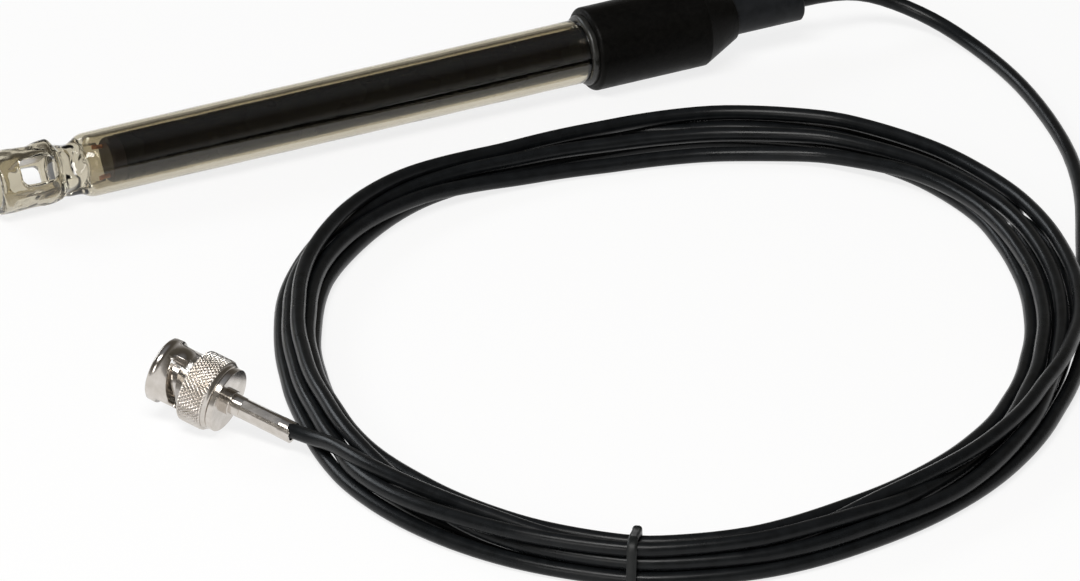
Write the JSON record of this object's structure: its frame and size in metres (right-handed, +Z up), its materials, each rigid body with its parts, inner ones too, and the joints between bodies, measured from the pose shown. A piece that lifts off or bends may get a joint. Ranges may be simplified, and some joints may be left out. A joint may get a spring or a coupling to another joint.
{
  "type": "conductivity electrode",
  "caption": "Laboratory conductivity probe with an open glass cell, a black cap, a tied coil of thin coaxial cable and a bayonet plug, lying flat.",
  "frame": {"origin": "on the bench, under the middle of the probe (glass, cap and boot, without the cable)", "axes": "+X along the probe from its tip to its cable, +Z up from the bench"},
  "size_m": [0.2009, 0.1893, 0.0163],
  "materials": {
    "clear_glass": "clear blown glass",
    "platinum": "dull platinum sheet",
    "copper": "bare copper wire",
    "stopper_plastic": "dark moulded plastic",
    "liner_plastic": "smooth black tube",
    "sealant": "cured black sealant",
    "cap_plastic": "black plastic, half matte",
    "boot_rubber": "smooth black rubber",
    "cable_jacket": "glossy black cable jacket",
    "cable_core": "milky cable core",
    "tie_plastic": "black tie",
    "nickel": "bright nickel plate",
    "gold_pin": "gold plated pin",
    "white_insulator": "white insulator",
    "gasket_rubber": "dark red rubber",
    "spring_steel": "spring steel"
  },
  "bodies": {
    "electrode": {"glass_body": "clear_glass", "plate_upper": "platinum", "plate_lower": "platinum", "platinum_wire_upper": "platinum", "platinum_wire_lower": "platinum", "lead_wire_upper": "copper", "lead_wire_lower": "copper", "sleeve_plug": "stopper_plastic", "inner_sleeve": "liner_plastic", "sealing_bead": "sealant", "cap": "cap_plastic", "solder_sleeve_upper": "stopper_plastic", "solder_sleeve_lower": "stopper_plastic", "boot": "boot_rubber", "cable_end": "cable_jacket", "cable_free": "cable_jacket", "cable_coil": "cable_jacket", "cable_tail": "cable_jacket", "cable_tie": "tie_plastic", "plug_body": "nickel", "outer_contact": "nickel", "insulator": "white_insulator", "centre_pin": "gold_pin", "plug_core": "cable_core", "gasket": "gasket_rubber", "retaining_ring": "spring_steel", "spring_washer": "spring_steel", "crimp_ferrule": "nickel"},
    "thrust_ring": {"thrust_ring": "nickel"},
    "coupling_nut": {"coupling_nut": "nickel"}
  },
  "joints": [
    {"name": "nut_pull", "type": "slide", "parent": "electrode", "child": "thrust_ring", "axis": [-0.5666, 0.7973, 0.2079], "range_m": [0, 0.00085], "stiffness_N_per_m": 8000, "deforming": ["spring_washer"]},
    {"name": "nut_turn", "type": "hinge", "parent": "thrust_ring", "child": "coupling_nut", "pos_m": [-0.0771, -0.09101, 0.00672], "axis": [-0.5666, 0.7973, 0.2079], "continuous": true}
  ]
}
